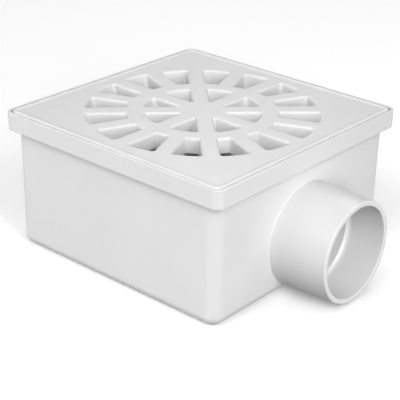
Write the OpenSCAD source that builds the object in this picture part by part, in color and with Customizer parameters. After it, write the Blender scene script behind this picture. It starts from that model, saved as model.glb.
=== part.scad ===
// Floor gully trap. A square box with a flanged rim takes a drop-in slotted
// grating. A horizontal outlet spigot leaves one side, level with the base.
// Inside, a D-shaped weir stands round the outlet's mouth and a lift-out hood
// dips past it, so that the water left in the box seals the drain.
// Millimetres, +Z up, outlet towards +X, origin at the centre of the underside.

/* [Box] */
// Overall height, from the underside to the top of the rim
height = 55; // [52:0.5:75]
// Outside width of the square box, just under the flange
box_w = 99.5; // [98.5:0.5:101]
// How much narrower the box is at its base than under the flange
draft = 0.7; // [0.2:0.1:1.6]
// Radius of the four upright corners of the box
corner_r = 4.5; // [4.2:0.1:8]
// Radius of the rounded edge round the underside
base_r = 4; // [1:0.1:4]
// Wall and floor thickness of the box
wall = 2.3; // [1.8:0.1:2.6]

/* [Flange] */
// Outside width of the square flange
flange_w = 105; // [104:0.5:112]
// Height of the flange's outer face
flange_h = 7.5; // [6.6:0.1:10]
// Radius of the flange's upright corners
flange_r = 3.5; // [2.8:0.1:6]
// Thickness of the rim round the grating
rim_t = 1.1; // [1:0.1:2.5]
// Rounding of the flange's outer top edge
rim_round = 0.5; // [0.2:0.1:0.7]
// Depth of the seat that the grating drops into
seat_depth = 5.2; // [4.6:0.1:5.4]

/* [Grating] */
// Clearance between the grating and the rim, on each side
grate_gap = 0.5; // [0.2:0.05:0.8]
// How far the grating's face sits below the top of the rim
grate_drop = 0.2; // [0:0.1:0.6]
// Thickness of the grating's top skin
skin_t = 2.2; // [1.5:0.1:3]
// Thickness of the skirt round the grating's edge
skirt_t = 1.8; // [1.2:0.1:2.4]
// Width of the raised border round the grating's face
edge_w = 1.6; // [1.4:0.1:3]
// Height of the raised border above the grating's face
edge_h = 0.2; // [0.1:0.1:0.5]
// Rounding of the grating's top edge
grate_round = 0.6; // [0.2:0.1:1]
// Depth of the bars between the slots
bar_depth = 6; // [5.6:0.1:7]
// Width of the bars between the slots
bar_w = 6.5; // [4:0.1:7]
// Radius of the circle round the outer slots
outer_slot_r = 44.6; // [42:0.1:45]
// Radius of the outside of the solid ring
ring_r = 29; // [27:0.1:32]
// Radius of the inside of the solid ring
inner_slot_r = 22.8; // [18:0.1:24]
// Number of slots outside the ring
outer_slots = 16; // [8:2:20]
// Number of slots inside the ring
inner_slots = 8; // [4:2:10]

/* [Outlet] */
// Outside diameter of the outlet spigot
outlet_d = 40; // [32:1:42]
// Wall thickness of the outlet spigot at its end
outlet_wall = 2.6; // [1.8:0.1:3]
// Distance from the box's centre line to the spigot's end
outlet_reach = 73.1; // [62:0.1:95]
// Rounding of the spigot's outer end edge
outlet_round = 0.7; // [0.2:0.1:1]
// Rounding of the spigot's inner end edge
mouth_round = 0.4; // [0.2:0.1:0.8]
// Radius of the fillet where the spigot meets the box
root_fillet = 0.8; // [0.4:0.1:1.2]
// Depth of the wider part of the bore, from the spigot's end
wide_bore_depth = 16; // [6:0.5:18]
// How much the bore's radius steps in past that
bore_step = 1; // [0.5:0.1:1.5]

/* [Water seal] */
// Height of the weir's top below the rim
weir_below = 23; // [21:0.5:26]
// Wall thickness of the weir
weir_t = 2; // [1.5:0.1:2.5]
// Height of the gap under the hood's skirt
dip_gap = 8.7; // [6:0.1:10]
// Wall thickness of the hood
hood_t = 1.8; // [1.4:0.1:2.2]
// Clear passage between the weir and the hood
passage = 8.5; // [6:0.1:9]

/* [Hidden] */

base_w = box_w - draft;
box_h = height - flange_h;
seat_w = flange_w - 2 * rim_t;
seat_z = height - seat_depth;
in_corner_r = corner_r - wall;
in_base_r = max(base_r - wall, 0.4);

outlet_z = outlet_d / 2 + 0.05;
bore_r = outlet_d / 2 - outlet_wall;

grate_w = seat_w - 2 * grate_gap;
grate_r = max(flange_r - rim_t - grate_gap, 0.8) + 0.6;
grate_top = height - grate_drop;

// plane of the inner face behind the outlet, and what stands off it
back_x = base_w / 2 - wall;
weir_z = height - weir_below;
weir_in_r = bore_r + 1.5;
weir_out_r = weir_in_r + weir_t;
hood_in_r = weir_out_r + passage;
hood_out_r = hood_in_r + hood_t;
hood_top = height - 13;
hood_low = wall + dip_gap;
hood_x = back_x - 0.2;
tab_w = hood_out_r + 4.3;
tab_t = 2.2;
guide_t = 1.8;
guide_h = hood_top + 2;

// a square with rounded corners, centred
module rounded_square(w, r) {
    square([w - 2 * r, w], center = true);
    square([w, w - 2 * r], center = true);
    for (x = [-1, 1], y = [-1, 1])
        translate([x * (w / 2 - r), y * (w / 2 - r)]) circle(r = r);
}

// side view of a tray: a rectangle whose two lower corners are rounded
module tray_profile(w, h, edge) {
    translate([-w / 2 + edge, 0]) square([w - 2 * edge, h]);
    translate([-w / 2, edge]) square([w, h - edge]);
    for (x = [-1, 1]) translate([x * (w / 2 - edge), edge]) circle(r = edge);
}

module tray_prism(w, h, edge) {
    translate([0, w / 2 + 1, 0]) rotate([90, 0, 0]) linear_extrude(w + 2)
        tray_profile(w, h, edge);
}

// an upright-sided square box with rounded upright corners, whose lower edge is
// rounded all round
module tray(w, h, r, edge) {
    intersection() {
        linear_extrude(h) rounded_square(w, r);
        tray_prism(w, h, edge);
        rotate([0, 0, 90]) tray_prism(w, h, edge);
    }
}

// one upright corner of the box, drafted from radius r0 to r1, with a rounded foot
module drafted_corner(r0, r1, h, edge) {
    steps = 6;
    for (i = [0 : steps - 1]) {
        a = 90 * i / steps;
        b = 90 * (i + 1) / steps;
        translate([0, 0, edge * (1 - cos(a))])
            cylinder(r1 = r0 - edge * (1 - sin(a)), r2 = r0 - edge * (1 - sin(b)),
                     h = edge * (cos(a) - cos(b)));
    }
    translate([0, 0, edge]) cylinder(r1 = r0, r2 = r1, h = h - edge);
}

// the outside of the box: drafted sides, rounded corners and a rounded underside
module shell() {
    c = base_w / 2 - corner_r;
    hull() for (x = [-c, c], y = [-c, c]) translate([x, y, 0])
        drafted_corner(corner_r, corner_r + draft / 2, box_h + 1, base_r, $fn = 32);
}

// the flange: upright sides and a rounded outer top edge
module flange_block() {
    translate([0, 0, height]) mirror([0, 0, 1])
        tray(flange_w, flange_h, flange_r, rim_round);
}

// turns a profile about the outlet's axis, with X as the radius and Y as the
// distance from the box's centre line
module about_outlet() {
    translate([0, 0, outlet_z]) rotate([0, 90, 0]) rotate_extrude($fn = 96) children();
}

// the outlet spigot, with a rounded end edge and a fillet at its root, and with
// nothing below the box's underside
module spigot() {
    rr = outlet_d / 2;
    x0 = back_x - 1;
    x1 = base_w / 2;
    intersection() {
        about_outlet() {
            difference() {
                translate([0, x0]) square([rr, outlet_reach - x0]);
                translate([rr - outlet_round, outlet_reach - outlet_round]) difference() {
                    square([2 * outlet_round, 2 * outlet_round]);
                    circle(r = outlet_round, $fn = 24);
                }
            }
            translate([0, x0]) square([rr + root_fillet, x1 - x0]);
            difference() {
                translate([rr - 1, x1 - 1]) square([root_fillet + 1, root_fillet + 1]);
                translate([rr + root_fillet, x1 + root_fillet]) circle(r = root_fillet, $fn = 24);
            }
        }
        translate([x0 - 1, -outlet_d, 0]) cube([outlet_reach, 2 * outlet_d, 2 * outlet_d]);
    }
}

// the way out through the wall and the spigot: it steps out to the wider bore
// near the end, whose inner edge is rounded
module bore() {
    x0 = back_x - 4;
    x1 = outlet_reach - wide_bore_depth;
    about_outlet() difference() {
        polygon([[0, x0], [bore_r - bore_step, x0], [bore_r - bore_step, x1 - 1],
                 [bore_r, x1 + 1], [bore_r, outlet_reach - mouth_round],
                 [bore_r + mouth_round, outlet_reach - mouth_round],
                 [bore_r + mouth_round, outlet_reach + 2], [0, outlet_reach + 2]]);
        translate([bore_r + mouth_round, outlet_reach - mouth_round])
            circle(r = mouth_round, $fn = 24);
    }
}

// upright D-shaped wall round the outlet's mouth
module weir() {
    translate([0, 0, wall - 0.5]) linear_extrude(weir_z - wall + 0.5)
        intersection() {
            translate([back_x, 0]) difference() {
                circle(r = weir_out_r, $fn = 96);
                circle(r = weir_in_r, $fn = 96);
            }
            translate([back_x - 40, -40]) square([41, 80]);
        }
}

// channels that the hood's side tabs slide down, each with a stop at its foot
module guides() {
    y0 = tab_w + 0.4;
    y1 = y0 + guide_t;
    x1 = back_x + 1;
    lip_x = hood_x - tab_t - 0.3 - guide_t;
    for (s = [0, 1]) mirror([0, s, 0]) {
        translate([0, 0, wall - 0.5]) linear_extrude(guide_h - wall + 0.5)
            polygon([[lip_x, y0 - 2.6], [lip_x + guide_t, y0 - 2.6], [lip_x + guide_t, y0],
                     [x1, y0], [x1, y1], [lip_x, y1]]);
        translate([lip_x, tab_w - 4, wall - 0.5])
            cube([x1 - lip_x, y1 - 0.8 - tab_w + 4, hood_low - wall + 0.5]);
    }
}

module body() {
    color("white") difference() {
        union() {
            difference() {
                union() {
                    shell();
                    flange_block($fn = 64);
                    spigot();
                }
                translate([0, 0, wall])
                    tray(2 * back_x, height, in_corner_r, in_base_r, $fn = 64);
                translate([0, 0, seat_z]) linear_extrude(seat_depth + 1)
                    rounded_square(seat_w, max(flange_r - rim_t, 0.8), $fn = 32);
            }
            weir();
            guides();
        }
        bore();
    }
}

// 2D bars that cross the whole grating, n of them counted round the circle
module spokes(n, r) {
    for (i = [0 : n / 2 - 1]) rotate(i * 360 / n) square([2 * r, bar_w], center = true);
}

module slots_2d() {
    difference() {
        circle(r = outer_slot_r, $fn = 128);
        circle(r = ring_r, $fn = 128);
        spokes(outer_slots, outer_slot_r + 2);
    }
    difference() {
        circle(r = inner_slot_r, $fn = 128);
        spokes(inner_slots, inner_slot_r + 2);
    }
}

// the grating's top skin, with a rounded top edge and a low raised border
module grate_skin() {
    difference() {
        translate([0, 0, grate_top + edge_h]) mirror([0, 0, 1])
            tray(grate_w, skin_t + edge_h, grate_r, grate_round);
        translate([0, 0, grate_top]) linear_extrude(edge_h + 1)
            rounded_square(grate_w - 2 * edge_w, max(grate_r - edge_w, 0.8), $fn = 32);
    }
}

module grating() {
    color("white") difference() {
        union() {
            grate_skin($fn = 64);
            // skirt that stands on the seat
            translate([0, 0, seat_z]) linear_extrude(grate_top - skin_t - seat_z + 0.5)
                difference() {
                    rounded_square(grate_w, grate_r, $fn = 32);
                    rounded_square(grate_w - 2 * skirt_t, 0.6, $fn = 32);
                }
            // deep disc that the slots are cut through
            translate([0, 0, grate_top - bar_depth])
                cylinder(r = outer_slot_r + skirt_t, h = bar_depth - 0.5, $fn = 128);
        }
        translate([0, 0, grate_top - bar_depth - 1]) linear_extrude(bar_depth + 2) slots_2d();
    }
}

// plan of the hood: a D of radius r whose flat side lies at the back
module hood_plan(r, x1) {
    intersection() {
        translate([back_x, 0]) circle(r = r, $fn = 96);
        translate([back_x - r - 1, -r - 1]) square([x1 - back_x + r + 1, 2 * r + 2]);
    }
}

module trap_hood() {
    color("white") union() {
        difference() {
            translate([0, 0, hood_low]) linear_extrude(hood_top - hood_low)
                hood_plan(hood_out_r, hood_x);
            translate([0, 0, hood_low - 1]) linear_extrude(hood_top - hood_t - hood_low + 1)
                hood_plan(hood_in_r, hood_x + 1);
        }
        // side tabs that slide down the guides
        for (s = [-1, 1])
            translate([hood_x - tab_t, s > 0 ? hood_in_r + 0.5 : -tab_w, hood_low])
                cube([tab_t, tab_w - hood_in_r - 0.5, hood_top - hood_low]);
        // grip to lift the hood by
        translate([back_x - hood_in_r * 0.55, 1, hood_top - 0.5]) rotate([90, 0, 0])
            linear_extrude(2) {
                translate([-8, 0]) square([16, 3.4]);
                translate([-5.5, 0]) square([11, 5.9]);
                for (x = [-5.5, 5.5]) translate([x, 3.4]) circle(r = 2.5, $fn = 32);
            }
    }
}

body();
grating();
trap_hood();
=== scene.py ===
import math

import bmesh
import bpy
from mathutils import Matrix, Vector
from mathutils.geometry import tessellate_polygon


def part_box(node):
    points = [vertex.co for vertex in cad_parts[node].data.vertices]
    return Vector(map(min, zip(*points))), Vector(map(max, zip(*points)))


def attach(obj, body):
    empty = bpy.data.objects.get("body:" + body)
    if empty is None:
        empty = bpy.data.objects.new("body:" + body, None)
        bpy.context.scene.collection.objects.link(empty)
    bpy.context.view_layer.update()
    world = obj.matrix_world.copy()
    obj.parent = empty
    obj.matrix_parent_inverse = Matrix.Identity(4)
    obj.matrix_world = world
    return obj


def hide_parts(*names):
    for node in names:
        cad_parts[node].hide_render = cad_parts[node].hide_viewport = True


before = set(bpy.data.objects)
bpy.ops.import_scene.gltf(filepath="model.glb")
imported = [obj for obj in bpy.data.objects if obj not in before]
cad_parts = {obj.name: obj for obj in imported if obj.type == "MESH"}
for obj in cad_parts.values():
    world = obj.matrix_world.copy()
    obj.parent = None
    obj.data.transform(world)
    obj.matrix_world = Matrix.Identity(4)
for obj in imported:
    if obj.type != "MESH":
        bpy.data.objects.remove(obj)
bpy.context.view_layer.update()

scene = bpy.context.scene
MM = 0.001


def nums(box):
    return [[float(v) for v in corner] for corner in box]


# ---------------------------------------------------------------- sizes, in mm
body_lo, body_hi = [[v * 1000 for v in c] for c in nums(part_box("body"))]
grate_lo, grate_hi = [[v * 1000 for v in c] for c in nums(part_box("grating"))]
hood_lo, hood_hi = [[v * 1000 for v in c] for c in nums(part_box("trap_hood"))]

HEIGHT = body_hi[2]
FLANGE_W = body_hi[1] - body_lo[1]
REACH = body_hi[0]
BOX_W, BASE_W = 99.5, 98.8
CORNER_R, BASE_R = 4.5, 4.0
WALL, BACK_X = 2.3, 47.1
FLANGE_H, FLANGE_R, RIM_T, RIM_ROUND = 7.5, 3.5, 1.1, 0.2
RIM_Z = HEIGHT - 0.35
SEAT_Z = HEIGHT - 5.2
GRATE_W = grate_hi[0] - grate_lo[0]
GRATE_TOP, GRATE_LOW = grate_hi[2], grate_lo[2]
GRATE_R, EDGE_H = 2.5, 0.3
SKIN_T, SKIRT_T, DISC_R = 2.2, 1.8, 46.4
BAR_W, SLOT_R1, RING_R, SLOT_R0 = 6.5, 44.6, 29.0, 22.8
SLOT_ROUND, END_LEAN, SIDE_LEAN = 0.8, 1.4, 0.3
OUT_R, OUT_Z, BORE_R, OUT_DRAFT = 20.0, 20.05, 17.4, 0.6
WEIR_IN, WEIR_OUT, WEIR_Z = 18.9, 20.9, 32.0
HOOD_IN, HOOD_OUT = 29.4, 31.2
HOOD_LOW, HOOD_TOP, HOOD_X = hood_lo[2], 42.0, hood_hi[0]
TAB_W, TAB_T = hood_hi[1], 2.2


# ------------------------------------------------------------- mesh building
def obj_from(name, verts, faces):
    mesh = bpy.data.meshes.new(name)
    mesh.from_pydata([(x * MM, y * MM, z * MM) for x, y, z in verts], [], faces)
    mesh.update()
    bm = bmesh.new()
    bm.from_mesh(mesh)
    bmesh.ops.remove_doubles(bm, verts=bm.verts, dist=1e-7)
    bmesh.ops.recalc_face_normals(bm, faces=bm.faces)
    bm.to_mesh(mesh)
    bm.free()
    ob = bpy.data.objects.new(name, mesh)
    scene.collection.objects.link(ob)
    return ob


def rings_solid(name, rings, cap_start=True, cap_end=True, closed=False):
    """Joins rings of equal length into one skin."""
    n = len(rings[0])
    verts = [p for ring in rings for p in ring]
    faces = []
    pairs = list(range(len(rings) - 1))
    for k in pairs:
        for i in range(n):
            j = (i + 1) % n
            faces.append((k * n + i, k * n + j, (k + 1) * n + j, (k + 1) * n + i))
    if closed:
        k = len(rings) - 1
        for i in range(n):
            j = (i + 1) % n
            faces.append((k * n + i, k * n + j, j, i))
    else:
        if cap_start:
            faces.append(tuple(range(n)))
        if cap_end:
            faces.append(tuple(range((len(rings) - 1) * n, len(rings) * n)))
    return obj_from(name, verts, faces)


def rounded_square(w, r, z, n=12):
    out = []
    c = w / 2 - r
    for cx, cy, a0 in ((c, c, 0), (-c, c, 90), (-c, -c, 180), (c, -c, 270)):
        for i in range(n + 1):
            a = math.radians(a0 + 90 * i / n)
            out.append((cx + r * math.cos(a), cy + r * math.sin(a), z))
    return out


def arc(a0, a1, n):
    return [math.radians(a0 + (a1 - a0) * i / n) for i in range(n + 1)]


def boolean(a, b, op):
    mod = a.modifiers.new("b", "BOOLEAN")
    mod.operation = op
    mod.solver = "EXACT"
    mod.object = b
    dg = bpy.context.evaluated_depsgraph_get()
    mesh = bpy.data.meshes.new_from_object(a.evaluated_get(dg))
    a.modifiers.clear()
    old = a.data
    a.data = mesh
    bpy.data.meshes.remove(old)
    bpy.data.objects.remove(b)
    return a


def lathe_x(name, profile, n=160, closed=True):
    """Turns (radius, x) points about the outlet's axis."""
    rings = []
    for r, x in profile:
        rings.append([(x, r * math.cos(t), OUT_Z + r * math.sin(t))
                      for t in [2 * math.pi * i / n for i in range(n)]])
    return rings_solid(name, rings)


def tidy(ob, smooth_angle=38):
    """Merges stray points, smooths the faces and marks the sharp edges."""
    mesh = ob.data
    bm = bmesh.new()
    bm.from_mesh(mesh)
    bmesh.ops.remove_doubles(bm, verts=bm.verts, dist=4e-6)
    bmesh.ops.dissolve_degenerate(bm, edges=bm.edges, dist=2e-6)
    lim = math.radians(smooth_angle)
    for f in bm.faces:
        f.smooth = True
    for e in bm.edges:
        if len(e.link_faces) == 2:
            e.smooth = e.calc_face_angle(0) < lim
        else:
            e.smooth = False
    bm.to_mesh(mesh)
    bm.free()
    wn = ob.modifiers.new("normals", "WEIGHTED_NORMAL")
    wn.mode = "FACE_AREA"
    wn.weight = 80
    wn.keep_sharp = True
    return ob


# -------------------------------------------------------------------- body
def body_profile():
    """(half width, corner radius, z) from the middle of the underside, up the
    outside, over the rim and down the inside to the middle of the floor."""
    p = []
    half = lambda z: (BASE_W + (BOX_W - BASE_W) * (z - BASE_R) / 44.5) / 2
    rad = lambda z: CORNER_R + 0.35 * (z - BASE_R) / 44.5
    # rounded edge of the underside
    for a in arc(0, 90, 10):
        s = BASE_R * (1 - math.sin(a))
        p.append((BASE_W / 2 - s, CORNER_R - s, BASE_R * (1 - math.cos(a))))
    z0 = HEIGHT - FLANGE_H
    f = 0.5   # fillet under the flange
    w = half(z0 - f)
    p.append((half(20), rad(20), 20))
    r = rad(z0 - f)
    for a in arc(0, 90, 5):
        p.append((w + f * (1 - math.cos(a)), r + f * (1 - math.cos(a)), z0 - f + f * math.sin(a)))
    # lower edge of the flange
    e = 0.4
    W = FLANGE_W / 2
    for a in arc(0, 90, 5):
        s = e * (1 - math.sin(a))
        p.append((W - s, FLANGE_R - s, z0 + e * (1 - math.cos(a))))
    # upper edge of the flange
    e = RIM_ROUND
    for a in arc(0, 90, 8):
        s = e * (1 - math.cos(a))
        p.append((W - s, FLANGE_R - s, RIM_Z - e + e * math.sin(a)))
    # inner edge of the rim
    w, r = W - RIM_T, FLANGE_R - RIM_T
    e = 0.1
    for a in arc(90, 0, 5):
        s = e * (1 - math.cos(a))
        p.append((w + s, r + s, RIM_Z - e + e * math.sin(a)))
    # seat
    e = 0.3
    for a in arc(0, 90, 3):
        s = e * (1 - math.cos(a))
        p.append((w - s, r - s, SEAT_Z + e * (1 - math.sin(a))))
    w, r = BACK_X, CORNER_R - WALL
    e = 0.4
    for a in arc(90, 0, 3):
        s = e * (1 - math.cos(a))
        p.append((w + s, r + s, SEAT_Z - e + e * math.sin(a)))
    # rounded edge of the floor
    e = BASE_R - WALL
    for a in arc(90, 0, 6):
        s = e * (1 - math.sin(a))
        p.append((w - s, r - s, WALL + e * (1 - math.cos(a))))
    return p


def make_body():
    rings = [rounded_square(2 * w, max(r, 0.3), z) for w, r, z in body_profile()]
    ob = rings_solid("body_shell", rings)

    # the spigot's outside: a fillet at the root, then a rounded end edge
    n = 192
    x_in, e, fil = BACK_X - 1, 0.5, 0.4
    wall_x = lambda z: (BASE_W + (BOX_W - BASE_W) * (max(z, BASE_R) - BASE_R) / 44.5) / 2
    prof_a = arc(0, 90, 8)
    prof_e = arc(0, 90, 8)
    rings = []
    for i in range(n):
        t = 2 * math.pi * i / n
        down = math.degrees(math.acos(max(-1, min(1, -math.sin(t)))))   # from straight down
        g = max(0.0, min(1.0, (down - 16) / 30))
        g = g * g * (3 - 2 * g)
        f = fil * g
        z_here = OUT_Z + OUT_R * math.sin(t)
        xw = wall_x(z_here) - 0.03
        col = [(OUT_R, x_in), (OUT_R, BACK_X + 0.8)]
        for a in prof_a:
            col.append((OUT_R + f * (1 - math.sin(a)), xw + fil * (1 - math.cos(a))))
        for a in prof_e:
            col.append((OUT_R - OUT_DRAFT - e * (1 - math.cos(a)), REACH - e + e * math.sin(a)))
        rings.append([(x, r * math.cos(t), OUT_Z + r * math.sin(t)) for r, x in col])
    rings = [list(r) for r in zip(*rings)]
    spigot = rings_solid("spigot", rings)
    boolean(ob, spigot, "UNION")

    # weir: a half ring round the outlet's mouth, with a rounded top
    sec = []
    mid, th = (WEIR_IN + WEIR_OUT) / 2, (WEIR_OUT - WEIR_IN) / 2
    a1 = math.degrees(math.acos(-1.0 / mid))
    prof = [(WEIR_OUT, WALL - 0.6)]
    prof += [(mid + th * math.cos(a), WEIR_Z - th + th * math.sin(a)) for a in arc(0, 180, 10)]
    prof += [(WEIR_IN, WALL - 0.6)]
    span = 92.8
    cols = []
    for i in range(65):
        t = math.radians(180 - span + 2 * span * i / 64)
        cols.append([(BACK_X + r * math.cos(t), r * math.sin(t), z) for r, z in prof])
    weir = rings_solid("weir", cols)
    boolean(ob, weir, "UNION")

    # guides for the hood's tabs
    y0, gt = TAB_W + 0.4, 1.8
    lip_x = HOOD_X - TAB_T - 0.3 - gt
    for s in (1, -1):
        plan = [(lip_x, y0 - 2.6), (lip_x + gt, y0 - 2.6), (lip_x + gt, y0), (BACK_X + 1, y0),
                (BACK_X + 1, y0 + gt), (lip_x, y0 + gt)]
        boolean(ob, prism("guide", [(x, s * y) for x, y in plan], WALL - 0.5, HOOD_TOP + 2), "UNION")
        foot = [(lip_x, TAB_W - 4), (BACK_X + 1, TAB_W - 4), (BACK_X + 1, y0 + 1), (lip_x, y0 + 1)]
        boolean(ob, prism("foot", [(x, s * y) for x, y in foot], WALL - 0.5, HOOD_LOW), "UNION")

    # bore: rounded mouth, wide for 16 mm, then a crisp ledge with a hollow root
    e, ez, rf = 0.4, 0.2, 2.4
    x1 = REACH - 16
    top = math.degrees(math.acos(1 - 1.0 / rf))
    xe = x1 - ez * math.sin(math.radians(top))
    prof = [(0.001, BACK_X - 4), (BORE_R - 1, BACK_X - 4)]
    prof += [(BORE_R - 1 + ez * (1 - math.cos(a)), xe + ez * math.sin(a)) for a in arc(0, top, 4)]
    r0, x0 = prof[-1]
    prof += [(BORE_R - rf * (1 - math.cos(a)), x1 + rf * (math.sin(math.radians(top)) - math.sin(a)))
             for a in arc(top, 0, 12) if BORE_R - rf * (1 - math.cos(a)) > r0 + 0.02]
    prof += [(BORE_R + e * (1 - math.cos(a)), REACH - e + e * math.sin(a)) for a in arc(0, 90, 6)]
    prof += [(BORE_R + e, REACH + 2), (0.001, REACH + 2)]
    tool = lathe_x("bore_tool", prof, n)
    boolean(ob, tool, "DIFFERENCE")
    return tidy(ob)


def prism(name, plan, z0, z1):
    n = len(plan)
    verts = [(x, y, z0) for x, y in plan] + [(x, y, z1) for x, y in plan]
    faces = [tuple(range(n)), tuple(range(n, 2 * n))]
    faces += [(i, (i + 1) % n, n + (i + 1) % n, n + i) for i in range(n)]
    return obj_from(name, verts, faces)


# ------------------------------------------------------------------- grating
def slot_outline(inner_r, outer_r, half, rc, ri, lean=0.0):
    """One slot about +X: points and outward normals. inner_r 0 is a slot whose
    two sides meet in a point. rc rounds the outer corners, ri the inner ones, and
    lean moves the sides in."""
    b = BAR_W / 2 + lean
    h = math.radians(half)
    pts = []

    def add(cx, cy, r, a0, a1, n):
        for i in range(n + 1):
            a = a0 + (a1 - a0) * i / n
            pts.append((cx + r * math.cos(a), cy + r * math.sin(a), math.cos(a), math.sin(a)))

    # the side line at +half lies b inside the bar's axis; its outward normal
    nx, ny = -math.sin(h), math.cos(h)
    # outer corner's centre, in the bar's own frame then turned
    L = math.sqrt((outer_r - rc) ** 2 - (b + rc) ** 2)
    c1 = (L * math.cos(h) - (b + rc) * nx, L * math.sin(h) - (b + rc) * ny)
    ang_arc = math.atan2(c1[1], c1[0])
    ang_side = math.atan2(ny, nx)
    # outer end, from -ang to +ang, as an arc about the origin
    n_arc = 14
    for i in range(n_arc + 1):
        a = -ang_arc + 2 * ang_arc * i / n_arc
        pts.append((outer_r * math.cos(a), outer_r * math.sin(a), math.cos(a), math.sin(a)))
    add(c1[0], c1[1], rc, ang_arc, ang_side, 6)
    if inner_r > 0:
        M = math.sqrt((inner_r + ri) ** 2 - (b + ri) ** 2)
        c2 = (M * math.cos(h) - (b + ri) * nx, M * math.sin(h) - (b + ri) * ny)
        a2 = math.atan2(c2[1], c2[0])
        add(c2[0], c2[1], ri, ang_side, math.pi + a2, 6)
        for i in range(1, 10):
            a = a2 - 2 * a2 * i / 10
            pts.append((inner_r * math.cos(a), inner_r * math.sin(a), -math.cos(a), -math.sin(a)))
        add(c2[0], -c2[1], ri, math.pi - a2, 2 * math.pi - ang_side, 6)
    else:
        d = (b + ri) / math.sin(h)
        add(d, 0.0, ri, ang_side, 2 * math.pi - ang_side, 12)
    add(c1[0], -c1[1], rc, 2 * math.pi - ang_side, 2 * math.pi - ang_arc, 6)
    # drop points that repeat
    out = []
    for p in pts:
        if not out or math.hypot(p[0] - out[-1][0], p[1] - out[-1][1]) > 1e-4:
            out.append(p)
    if math.hypot(out[0][0] - out[-1][0], out[0][1] - out[-1][1]) < 1e-4:
        out.pop()
    return out


def turned(pts, deg):
    c, s = math.cos(math.radians(deg)), math.sin(math.radians(deg))
    return [(x * c - y * s, x * s + y * c, nx * c - ny * s, nx * s + ny * c) for x, y, nx, ny in pts]


def make_grating():
    # each slot is narrower at its foot, most of all at its outer end
    kinds = [(RING_R, SLOT_R1, 11.25), (0, SLOT_R0, 22.5)]
    upper = [slot_outline(i, r - 0.5, h, 1.0, 0.5) for i, r, h in kinds]
    lower = [slot_outline(i + 0.2 * (i > 0), r - END_LEAN, h, 2.0, 0.9, SIDE_LEAN) for i, r, h in kinds]
    slots = [(turned(upper[0], 11.25 + 22.5 * k), turned(lower[0], 11.25 + 22.5 * k)) for k in range(16)]
    slots += [(turned(upper[1], 22.5 + 45 * k), turned(lower[1], 22.5 + 45 * k)) for k in range(8)]

    verts, faces = [], []

    def loop(pts):
        base = len(verts)
        verts.extend(pts)
        return list(range(base, base + len(pts)))

    def strip(a, b):
        n = len(a)
        for i in range(n):
            j = (i + 1) % n
            faces.append((a[i], a[j], b[j], b[i]))

    def fill(loops):
        polys = [[Vector((verts[i][0], verts[i][1], 0)) for i in lp] for lp in loops]
        flat = [i for lp in loops for i in lp]
        for tri in tessellate_polygon(polys):
            faces.append(tuple(flat[t] for t in tri))

    # low rounded border: the face lies a little below its crest
    top = GRATE_TOP - EDGE_H
    crest, rise, fall, drop = GRATE_W / 2 - 1.1, 0.8, 1.1, 0.65
    rings = []
    for i in range(7):
        u = i / 6
        half = crest - rise * (1 - u)
        rings.append(loop(rounded_square(2 * half, max(GRATE_R - (GRATE_W / 2 - half), 0.5),
                                         top + EDGE_H * math.sin(u * math.pi / 2) ** 2, 8)))
    for a in arc(80, 0, 7):
        half = crest + fall * math.cos(a)
        rings.append(loop(rounded_square(2 * half, max(GRATE_R - (GRATE_W / 2 - half), 0.5),
                                         GRATE_TOP - drop * (1 - math.sin(a)), 8)))
    e2 = 0.3
    for a in arc(0, 90, 3):
        s = e2 * (1 - math.cos(a))
        rings.append(loop(rounded_square(GRATE_W - 2 * s, GRATE_R - s, SEAT_Z + e2 - e2 * math.sin(a), 8)))
    w_in = GRATE_W - 2 * SKIRT_T
    rings.append(loop(rounded_square(w_in, 0.6, SEAT_Z, 8)))
    rings.append(loop(rounded_square(w_in, 0.6, top - SKIN_T, 8)))
    for a, b in zip(rings, rings[1:]):
        strip(a, b)

    n = 128
    circ = lambda r, z: loop([(r * math.cos(2 * math.pi * i / n), r * math.sin(2 * math.pi * i / n), z) for i in range(n)])
    d0 = circ(DISC_R, top - SKIN_T)
    d1 = circ(DISC_R, GRATE_LOW + 0.3)
    d2 = circ(DISC_R - 0.3, GRATE_LOW)
    strip(d0, d1)
    strip(d1, d2)

    tops, bottoms = [], []
    es, eb = SLOT_ROUND, 0.25
    for up, low in slots:
        prev = None
        for a in arc(0, 90, 7):
            off = es * (1 - math.sin(a))
            z = top - es * (1 - math.cos(a))
            lp = loop([(x + nx * off, y + ny * off, z) for x, y, nx, ny in up])
            if prev:
                strip(prev, lp)
            else:
                tops.append(lp)
            prev = lp
        for a in arc(0, 90, 3):
            off = eb * (1 - math.cos(a))
            z = GRATE_LOW + eb * (1 - math.sin(a))
            lp = loop([(x + nx * off, y + ny * off, z) for x, y, nx, ny in low])
            strip(prev, lp)
            prev = lp
        bottoms.append(prev)
    fill([rings[0]] + tops)
    fill([rings[-1], d0])
    fill([d2] + bottoms)
    ob = obj_from("grating_cover", verts, faces)
    return tidy(ob)


# ---------------------------------------------------------------------- hood
def d_plan(r, x1, z, n=48):
    """D outline: an arc of radius r about the wall's plane, closed at x1."""
    dx = BACK_X - x1
    a0 = math.acos(max(-1, min(1, -dx / r)))
    pts = []
    for i in range(n + 1):
        a = a0 + (2 * math.pi - 2 * a0) * i / n
        pts.append((BACK_X + r * math.cos(a), r * math.sin(a), z))
    return pts


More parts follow.
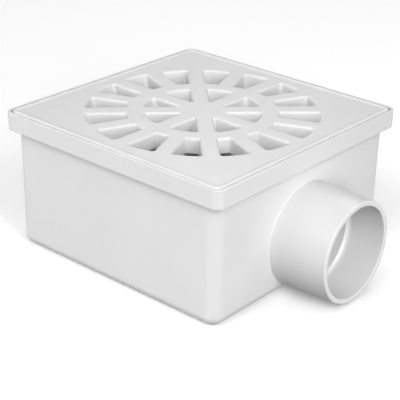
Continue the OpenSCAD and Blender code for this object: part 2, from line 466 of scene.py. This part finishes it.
def make_hood():
    e = 0.8
    rings = [d_plan(HOOD_OUT - 0.3, HOOD_X, HOOD_LOW), d_plan(HOOD_OUT, HOOD_X, HOOD_LOW + 0.3)]
    for a in arc(0, 90, 5):
        rings.append(d_plan(HOOD_OUT - e * (1 - math.cos(a)), HOOD_X, HOOD_TOP - e + e * math.sin(a)))
    ob = rings_solid("hood", rings)
    top_in = HOOD_TOP - 1.8
    cut = [d_plan(HOOD_IN, HOOD_X + 1, HOOD_LOW - 1)]
    for a in arc(0, 90, 4):
        cut.append(d_plan(HOOD_IN - 0.6 * (1 - math.cos(a)), HOOD_X + 1, top_in - 0.6 + 0.6 * math.sin(a)))
    boolean(ob, rings_solid("cut", cut), "DIFFERENCE")
    for s in (1, -1):
        plan = [(HOOD_X - TAB_T, s * (HOOD_IN + 0.5)), (HOOD_X - TAB_T, s * TAB_W), (HOOD_X, s * TAB_W), (HOOD_X, s * (HOOD_IN + 0.5))]
        boolean(ob, prism("tab", plan, HOOD_LOW, HOOD_TOP - 0.02), "UNION")
    # grip: an upright tongue with a rounded head
    gx = BACK_X - HOOD_IN * 0.55
    prof = [(-8, -0.5), (8, -0.5), (8, 2.9)]
    prof += [(5.5 + 2.5 * math.cos(a), 2.9 + 2.5 * math.sin(a)) for a in arc(0, 90, 8)]
    prof += [(-5.5 + 2.5 * math.cos(a), 2.9 + 2.5 * math.sin(a)) for a in arc(90, 180, 8)]
    prof += [(-8, 2.9)]
    m = len(prof)
    verts = [(gx + u, 1.0, HOOD_TOP + v) for u, v in prof] + [(gx + u, -1.0, HOOD_TOP + v) for u, v in prof]
    faces = [tuple(range(m)), tuple(range(m, 2 * m))] + [(i, (i + 1) % m, m + (i + 1) % m, m + i) for i in range(m)]
    boolean(ob, obj_from("grip", verts, faces), "UNION")
    ob.name = "hood_moulding"
    return tidy(ob)


# ----------------------------------------------------------------- materials
def plastic(name, colour, rough=0.32, seed=0.0):
    mat = bpy.data.materials.new(name)
    mat.use_nodes = True
    nt = mat.node_tree
    bsdf = nt.nodes["Principled BSDF"]
    bsdf.inputs["IOR"].default_value = 1.49
    bsdf.inputs["Specular IOR Level"].default_value = 0.5

    def node(kind, **kw):
        n = nt.nodes.new(kind)
        for k, v in kw.items():
            setattr(n, k, v)
        return n

    link = nt.links.new
    co = node("ShaderNodeTexCoord")
    mp = node("ShaderNodeMapping")
    mp.inputs["Location"].default_value = (seed, seed * 0.7, -seed)
    link(co.outputs["Object"], mp.inputs["Vector"])

    # broad, faint flow marks in the colour
    broad = node("ShaderNodeTexNoise")
    broad.inputs["Scale"].default_value = 28
    broad.inputs["Detail"].default_value = 3
    broad.inputs["Roughness"].default_value = 0.5
    link(mp.outputs["Vector"], broad.inputs["Vector"])
    ramp = node("ShaderNodeValToRGB")
    ramp.color_ramp.elements[0].position = 0.3
    ramp.color_ramp.elements[1].position = 0.7
    ramp.color_ramp.elements[0].color = (*[c * 0.975 for c in colour], 1)
    ramp.color_ramp.elements[1].color = (*[min(c * 1.012, 1) for c in colour], 1)
    link(broad.outputs["Fac"], ramp.inputs["Fac"])
    # fine specks
    speck = node("ShaderNodeTexNoise")
    speck.inputs["Scale"].default_value = 2600
    speck.inputs["Detail"].default_value = 2
    link(mp.outputs["Vector"], speck.inputs["Vector"])
    sr = node("ShaderNodeMapRange")
    sr.inputs["From Min"].default_value = 0.3
    sr.inputs["From Max"].default_value = 0.7
    sr.inputs["To Min"].default_value = 0.985
    sr.inputs["To Max"].default_value = 1.01
    link(speck.outputs["Fac"], sr.inputs["Value"])
    mul = node("ShaderNodeMixRGB", blend_type="MULTIPLY")
    mul.inputs["Fac"].default_value = 1
    link(ramp.outputs["Color"], mul.inputs["Color1"])
    link(sr.outputs["Result"], mul.inputs["Color2"])
    link(mul.outputs["Color"], bsdf.inputs["Base Color"])

    # gloss that varies a little
    rn = node("ShaderNodeTexNoise")
    rn.inputs["Scale"].default_value = 90
    rn.inputs["Detail"].default_value = 4
    link(mp.outputs["Vector"], rn.inputs["Vector"])
    rr = node("ShaderNodeMapRange")
    rr.inputs["From Min"].default_value = 0.3
    rr.inputs["From Max"].default_value = 0.7
    rr.inputs["To Min"].default_value = rough - 0.04
    rr.inputs["To Max"].default_value = rough + 0.06
    link(rn.outputs["Fac"], rr.inputs["Value"])
    link(rr.outputs["Result"], bsdf.inputs["Roughness"])

    # moulded skin: slow waviness and a fine grain
    wave = node("ShaderNodeTexNoise")
    wave.inputs["Scale"].default_value = 110
    wave.inputs["Detail"].default_value = 1.5
    link(mp.outputs["Vector"], wave.inputs["Vector"])
    grain = node("ShaderNodeTexNoise")
    grain.inputs["Scale"].default_value = 1500
    grain.inputs["Detail"].default_value = 2
    link(mp.outputs["Vector"], grain.inputs["Vector"])
    b1 = node("ShaderNodeBump")
    b1.inputs["Strength"].default_value = 0.05
    b1.inputs["Distance"].default_value = 0.0006
    link(wave.outputs["Fac"], b1.inputs["Height"])
    b2 = node("ShaderNodeBump")
    b2.inputs["Strength"].default_value = 0.05
    b2.inputs["Distance"].default_value = 0.00006
    link(grain.outputs["Fac"], b2.inputs["Height"])
    link(b1.outputs["Normal"], b2.inputs["Normal"])
    link(b2.outputs["Normal"], bsdf.inputs["Normal"])
    return mat


# ------------------------------------------------------------- camera, stage
def camera():
    az, el, roll = math.radians(40.586), math.radians(25.427), math.radians(1.270)
    dist, px, py, f = 462.85, -0.300, -9.420, 1197.43
    back = Vector((math.sin(az) * math.cos(el), -math.cos(az) * math.cos(el), math.sin(el)))
    right = Vector((math.cos(az), math.sin(az), 0))
    up = back.cross(right)
    r2 = right * math.cos(roll) + up * math.sin(roll)
    u2 = -right * math.sin(roll) + up * math.cos(roll)
    target = Vector((0, 0, 27.3)) + right * px + up * py
    C = target + back * dist
    cam = bpy.data.cameras.new("camera")
    cam.sensor_width = 36
    cam.lens = f / 400 * 36
    cam.clip_start, cam.clip_end = 0.01, 50
    ob = bpy.data.objects.new("camera", cam)
    scene.collection.objects.link(ob)
    m = Matrix(((r2.x, u2.x, back.x), (r2.y, u2.y, back.y), (r2.z, u2.z, back.z))).to_4x4()
    m.translation = C * MM
    ob.matrix_world = m
    scene.camera = ob


def area(name, loc, aim, size, power):
    li = bpy.data.lights.new(name, "AREA")
    li.energy = power
    li.shape = "SQUARE"
    li.size = size
    ob = bpy.data.objects.new(name, li)
    scene.collection.objects.link(ob)
    ob.visible_camera = False
    ob.location = loc
    ob.rotation_euler = (Vector(aim) - Vector(loc)).to_track_quat("-Z", "Y").to_euler()
    return ob


def stage():
    mesh = bpy.data.meshes.new("floor")
    s = 4.0
    mesh.from_pydata([(-s, -s, -2e-5), (s, -s, -2e-5), (s, s, -2e-5), (-s, s, -2e-5)], [], [(0, 1, 2, 3)])
    floor = bpy.data.objects.new("floor", mesh)
    scene.collection.objects.link(floor)
    mat = bpy.data.materials.new("floor")
    mat.use_nodes = True
    b = mat.node_tree.nodes["Principled BSDF"]
    b.inputs["Base Color"].default_value = (0.97, 0.97, 0.97, 1)
    b.inputs["Roughness"].default_value = 0.9
    b.inputs["Specular IOR Level"].default_value = 0.1
    b.inputs["Emission Color"].default_value = (1, 1, 1, 1)
    b.inputs["Emission Strength"].default_value = 0.15
    mesh.materials.append(mat)
    # the floor throws no light back up, so undersides stay in soft shade
    floor.visible_diffuse = False

    # a pale surround that shows behind the floor and adds no light
    world = bpy.data.worlds.new("world")
    scene.world = world
    world.use_nodes = True
    bg = world.node_tree.nodes["Background"]
    bg.inputs["Color"].default_value = (1, 1, 1, 1)
    bg.inputs["Strength"].default_value = 0.9
    seen = world.cycles_visibility
    seen.diffuse = seen.glossy = seen.transmission = seen.scatter = False

    # soft panels in a ring round the object: (azimuth, elevation, size, power,
    # distance)
    for i, (az, el, size, power, far) in enumerate((
            (10.6, 5, 0.68, 1.9, 2.2), (70.6, 5, 0.216, 1.40, 0.7), (310.6, 5, 0.68, 27.2, 2.2),
            (40.6, 20, 0.68, 6.2, 2.2), (70.6, 20, 0.216, 0.76, 0.7), (340.6, 20, 0.68, 3.0, 2.2),
            (40.6, 35, 0.68, 10.3, 2.2), (70.6, 35, 0.68, 11.9, 2.2), (130.6, 35, 0.68, 4.4, 2.2),
            (220.6, 35, 0.68, 6.1, 2.2), (340.6, 35, 0.68, 4.0, 2.2), (10.6, 50, 0.68, 3.7, 2.2),
            (130.6, 50, 0.68, 4.0, 2.2), (340.6, 50, 0.68, 4.5, 2.2), (10.6, 67, 0.78, 2.5, 2.2),
            (190.6, 67, 0.78, 6.1, 2.2))):
        a, e = math.radians(az), math.radians(el)
        aim = Vector((0, 0, 0.03))
        loc = aim + far * Vector((math.sin(a) * math.cos(e), -math.cos(a) * math.cos(e), math.sin(e)))
        area("panel_%02d" % i, loc, aim, size, power)
    scene.view_settings.view_transform = "Standard"
    scene.view_settings.look = "None"
    scene.cycles.use_denoising = True
    scene.cycles.max_bounces = 16
    scene.cycles.diffuse_bounces = 12


camera()
stage()
white = (0.74, 0.74, 0.74)
body = make_body()
body.data.materials.clear()
body.data.materials.append(plastic("body_plastic", white, 0.32, 0.0))
grating = make_grating()
grating.data.materials.clear()
grating.data.materials.append(plastic("grating_plastic", white, 0.34, 3.1))
hood = make_hood()
hood.data.materials.clear()
hood.data.materials.append(plastic("hood_plastic", (0.74, 0.74, 0.74), 0.38, 7.7))

for piece, node_name, slot in ((body, "body", "body_plastic"), (grating, "grating", "grating_plastic"),
                               (hood, "trap_hood", "hood_plastic")):
    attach(piece, "root")
    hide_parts(node_name)

bpy.context.view_layer.update()
